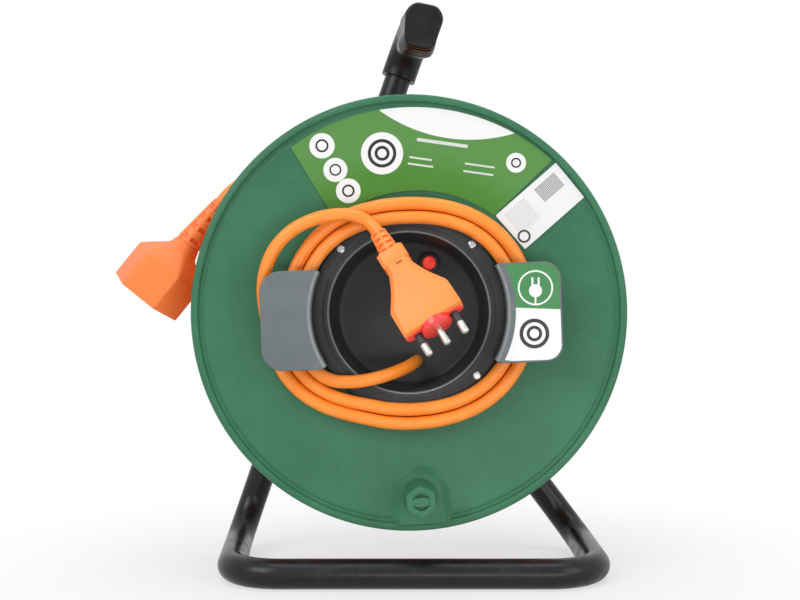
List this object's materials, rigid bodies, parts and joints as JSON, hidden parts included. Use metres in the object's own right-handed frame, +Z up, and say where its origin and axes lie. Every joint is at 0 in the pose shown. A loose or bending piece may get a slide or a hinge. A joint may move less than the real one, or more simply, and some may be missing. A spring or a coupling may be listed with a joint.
{
  "type": "extension cord reel",
  "caption": "Cable drum on a bent steel tube stand with a top grip, a winding knob, a front plug storage cup and a trailing socket.",
  "frame": {"origin": "on the ground, midway between the flanges' sides and midway from the knob to the rear posts", "axes": "+Z up; -Y is the front, where the plug and knob are; +X is right seen from the front"},
  "size_m": [0.3478, 0.2063, 0.4077],
  "materials": {
    "tube_black": "satin black paint",
    "grip_black": "fine matt moulding",
    "black_plastic": "matt moulding",
    "drum_green": "satin moulding",
    "cup_grey": "fine grained moulding",
    "cable_orange": "satin sheath",
    "plug_orange": "satin moulding",
    "socket_orange": "satin moulding",
    "bridge_red": "gloss moulding",
    "button_red": "gloss moulding",
    "nickel": "nickel plated",
    "steel": "zinc plated",
    "brass": "plain"
  },
  "bodies": {
    "frame": {"frame_tube": "tube_black", "grip": "grip_black", "axle_cap": "black_plastic", "axle_washer": "steel", "axle_spacer": "black_plastic", "trailing_lead": "cable_orange", "socket_body": "socket_orange", "socket_face": "black_plastic", "socket_contacts": "brass"},
    "drum": {"front_flange": "drum_green", "drum_core": "drum_green", "rear_flange": "drum_green", "rear_screws": "steel", "storage_cup": "cup_grey", "cup_screws": "steel", "cutout_body": "black_plastic", "cutout_nut": "black_plastic", "cord_clamp": "black_plastic", "clamp_screws": "steel", "knob_post": "drum_green", "winding_core": "cable_orange", "winding_layer": "cable_orange", "tail_lead": "cable_orange", "tail_coil": "cable_orange", "tail_loop": "cable_orange", "plug_body": "plug_orange", "plug_bridge": "bridge_red", "plug_pins": "nickel", "pin_sleeves": "black_plastic"},
    "knob": {"winding_knob": "drum_green"},
    "button": {"reset_button": "button_red"}
  },
  "joints": [
    {"name": "drum_spin", "type": "hinge", "parent": "frame", "child": "drum", "pos_m": [0, 0, 0.183], "axis": [0, -1, 0], "continuous": true},
    {"name": "knob_spin", "type": "hinge", "parent": "drum", "child": "knob", "pos_m": [0.00781, -0.0719, 0.06225], "axis": [0, -1, 0], "continuous": true},
    {"name": "reset_press", "type": "slide", "parent": "drum", "child": "button", "axis": [0, 1, 0], "range_m": [0, 0.002], "stiffness_N_per_m": 600, "springref_m": -0.001}
  ]
}
